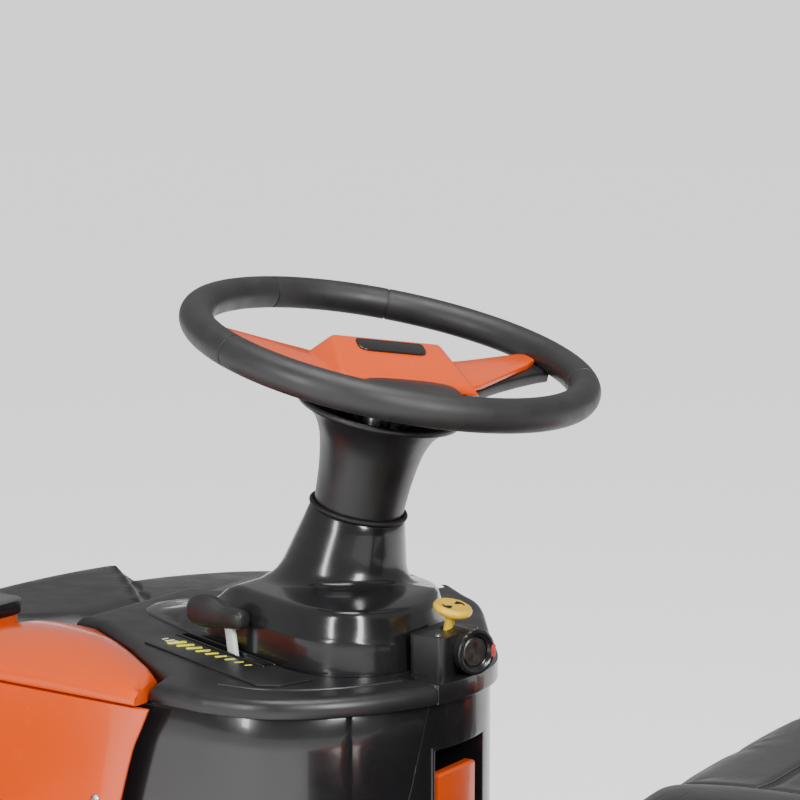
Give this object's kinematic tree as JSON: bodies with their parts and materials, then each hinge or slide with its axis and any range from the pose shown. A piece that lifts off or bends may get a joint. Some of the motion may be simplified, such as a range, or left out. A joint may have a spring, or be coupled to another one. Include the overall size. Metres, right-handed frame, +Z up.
{
  "type": "ride on sweeper",
  "caption": "Battery ride-on floor sweeper with tilted steering wheel, steered front wheel, main broom, side brushes, debris hopper, pedals and tilting seat.",
  "frame": {"origin": "on the floor, at the centre of the overall footprint", "axes": "+X towards the front, +Y to the driver's left, +Z up"},
  "size_m": [1.5, 1.0698, 1.0948],
  "materials": {
    "orange_shell": "glossy moulded orange",
    "black_gloss": "glossy moulded black",
    "black_matte": "grained black moulding",
    "grip_rubber": "soft matt grip",
    "tyre": "solid rubber",
    "rim_grey": "silver grey paint",
    "frame_paint": "black powder coat",
    "bare_steel": "machined",
    "chain_steel": "oiled",
    "lever_grey": "light grey",
    "knob_yellow": "yellow knob",
    "key_metal": "plated",
    "scale_print": "black plate with yellow bars",
    "bristle": "stiff nylon",
    "vinyl": "black grained vinyl",
    "battery_case": "moulded",
    "hopper_grey": "rotationally moulded",
    "lamp_trim": "lamp cups and bezels",
    "bumper_rubber": "moulded rubber"
  },
  "bodies": {
    "chassis": {"chassis_frame": "frame_paint", "front_shell": "orange_shell", "hood_cover": "black_gloss", "water_tank_filler": "orange_shell", "front_bumper": "bumper_rubber", "headlamps": "lamp_trim", "fender_left": "orange_shell", "fender_right": "black_gloss", "side_panel_left": "orange_shell", "side_panel_right": "orange_shell", "deck": "black_gloss", "tower_wall_left": "black_gloss", "tower_wall_right": "black_gloss", "knee_panel": "black_gloss", "column_cowl": "black_gloss", "column_seal": "grip_rubber", "column_shroud": "black_matte", "column_tube": "bare_steel", "scale_plate": "scale_print", "control_block": "black_matte", "footplate": "black_matte", "seat_riser": "orange_shell", "rear_cover_left": "orange_shell", "rear_cover_right": "orange_shell", "rear_cover_back": "black_gloss", "batteries": "battery_case", "brush_housing": "frame_paint", "rear_axles": "bare_steel", "steering_chain": "chain_steel"},
    "steering_wheel": {"steering_rim": "grip_rubber", "steering_core": "black_matte", "hub_cover": "orange_shell", "steering_shaft": "bare_steel"},
    "lower_shaft": {"lower_shaft": "bare_steel"},
    "fork": {"front_fork": "frame_paint", "fork_sprocket": "chain_steel"},
    "front_wheel": {"front_tyre": "tyre", "front_rim": "rim_grey"},
    "rear_wheel_left": {"rear_tyre_left": "tyre", "rear_rim_left": "rim_grey"},
    "rear_wheel_right": {"rear_tyre_right": "tyre", "rear_rim_right": "rim_grey"},
    "lift_lever": {"lift_lever": "lever_grey", "lever_knob": "black_gloss"},
    "parking_knob": {"parking_knob": "knob_yellow"},
    "key": {"key_rotor": "key_metal"},
    "release_paddle": {"release_paddle": "orange_shell"},
    "accelerator": {"accelerator_pedal": "black_matte"},
    "brake": {"brake_pedal": "black_matte"},
    "broom_arms": {"broom_arms": "frame_paint"},
    "main_broom": {"main_broom": "bristle"},
    "side_arm_left": {"side_arm_left": "frame_paint"},
    "side_arm_right": {"side_arm_right": "frame_paint"},
    "side_brush_left": {"side_brush_left": "bristle"},
    "side_brush_right": {"side_brush_right": "bristle"},
    "seat": {"seat_pan": "frame_paint", "seat_cushion": "vinyl", "seat_back": "vinyl"},
    "hopper": {"hopper": "hopper_grey"},
    "filler_cap": {"filler_cap": "black_gloss"}
  },
  "joints": [
    {"name": "fork_steer", "type": "hinge", "parent": "chassis", "child": "fork", "pos_m": [0.35, 0, 0.34], "axis": [0, 0, 1], "range_deg": [-48.77, 71.23]},
    {"name": "steering_turn", "type": "hinge", "parent": "chassis", "child": "steering_wheel", "pos_m": [0.15, 0, 0.955], "axis": [-0.2385, 0, 0.9711], "range_deg": [-146.4, 213.8]},
    {"name": "lower_shaft_turn", "type": "hinge", "parent": "chassis", "child": "lower_shaft", "pos_m": [0.2372, 0, 0.45], "axis": [0, 0, 1], "range_deg": [-146.4, 213.8]},
    {"name": "front_wheel_spin", "type": "hinge", "parent": "fork", "child": "front_wheel", "pos_m": [0.35, 0, 0.125], "axis": [0.1948, 0.9808, 0], "continuous": true},
    {"name": "rear_wheel_left_spin", "type": "hinge", "parent": "chassis", "child": "rear_wheel_left", "pos_m": [-0.43, 0.332, 0.15], "axis": [0, 1, 0], "continuous": true},
    {"name": "rear_wheel_right_spin", "type": "hinge", "parent": "chassis", "child": "rear_wheel_right", "pos_m": [-0.43, -0.332, 0.15], "axis": [0, 1, 0], "continuous": true},
    {"name": "broom_lift", "type": "hinge", "parent": "chassis", "child": "broom_arms", "pos_m": [0.15, 0, 0.23], "axis": [0, 1, 0], "range_deg": [-4.5, 0.9]},
    {"name": "lever_swing", "type": "hinge", "parent": "chassis", "child": "lift_lever", "pos_m": [0.19577, 0.1251, 0.54], "axis": [0.3486, 0.9373, 0], "range_deg": [-15.4, 3.1]},
    {"name": "broom_spin", "type": "hinge", "parent": "broom_arms", "child": "main_broom", "pos_m": [-0.095, 0, 0.142], "axis": [0, 1, 0], "continuous": true},
    {"name": "side_arm_left_lift", "type": "hinge", "parent": "chassis", "child": "side_arm_left", "pos_m": [0.575, 0.25, 0.3], "axis": [0, 1, 0], "range_deg": [0, 8]},
    {"name": "side_arm_right_lift", "type": "hinge", "parent": "chassis", "child": "side_arm_right", "pos_m": [0.575, -0.25, 0.3], "axis": [0, 1, 0], "range_deg": [0, 8]},
    {"name": "side_brush_left_spin", "type": "hinge", "parent": "side_arm_left", "child": "side_brush_left", "pos_m": [0.44, 0.345, 0.1], "axis": [0, 0, 1], "continuous": true},
    {"name": "side_brush_right_spin", "type": "hinge", "parent": "side_arm_right", "child": "side_brush_right", "pos_m": [0.44, -0.345, 0.1], "axis": [0, 0, 1], "continuous": true},
    {"name": "parking_knob_pull", "type": "slide", "parent": "chassis", "child": "parking_knob", "axis": [-0.2385, 0, 0.9711], "range_m": [-0.006, 0.008]},
    {"name": "key_turn", "type": "hinge", "parent": "chassis", "child": "key", "pos_m": [0.042, 0.05, 0.724], "axis": [-0.9511, 0.309, 0], "range_deg": [0, 60]},
    {"name": "release_paddle_pull", "type": "hinge", "parent": "chassis", "child": "release_paddle", "pos_m": [0.055, 0.06, 0.508], "axis": [0, -1, 0], "range_deg": [0, 20], "stiffness_Nm_per_rad": 2, "springref_deg": -17.19},
    {"name": "accelerator_press", "type": "hinge", "parent": "chassis", "child": "accelerator", "pos_m": [0.322, -0.32, 0.36], "axis": [0, 1, 0], "range_deg": [0, 15], "stiffness_Nm_per_rad": 8, "springref_deg": -14.32},
    {"name": "brake_press", "type": "hinge", "parent": "chassis", "child": "brake", "pos_m": [0.322, 0.32, 0.36], "axis": [0, 1, 0], "range_deg": [0, 15], "stiffness_Nm_per_rad": 8, "springref_deg": -14.32},
    {"name": "seat_tilt", "type": "hinge", "parent": "chassis", "child": "seat", "pos_m": [-0.15, 0, 0.59], "axis": [0, 1, 0], "range_deg": [0, 45]},
    {"name": "hopper_pull", "type": "slide", "parent": "chassis", "child": "hopper", "axis": [-1, 0, 0], "range_m": [0, 0.35]},
    {"name": "filler_cap_lift", "type": "hinge", "parent": "chassis", "child": "filler_cap", "pos_m": [0.648, 0.225, 0.722], "axis": [0, 1, 0], "range_deg": [0, 80]}
  ],
  "couplings": [
    {"joint": "steering_turn", "follows": "fork_steer", "ratio": 3},
    {"joint": "lower_shaft_turn", "follows": "fork_steer", "ratio": 3},
    {"joint": "lever_swing", "follows": "broom_lift", "ratio": 3.4}
  ]
}
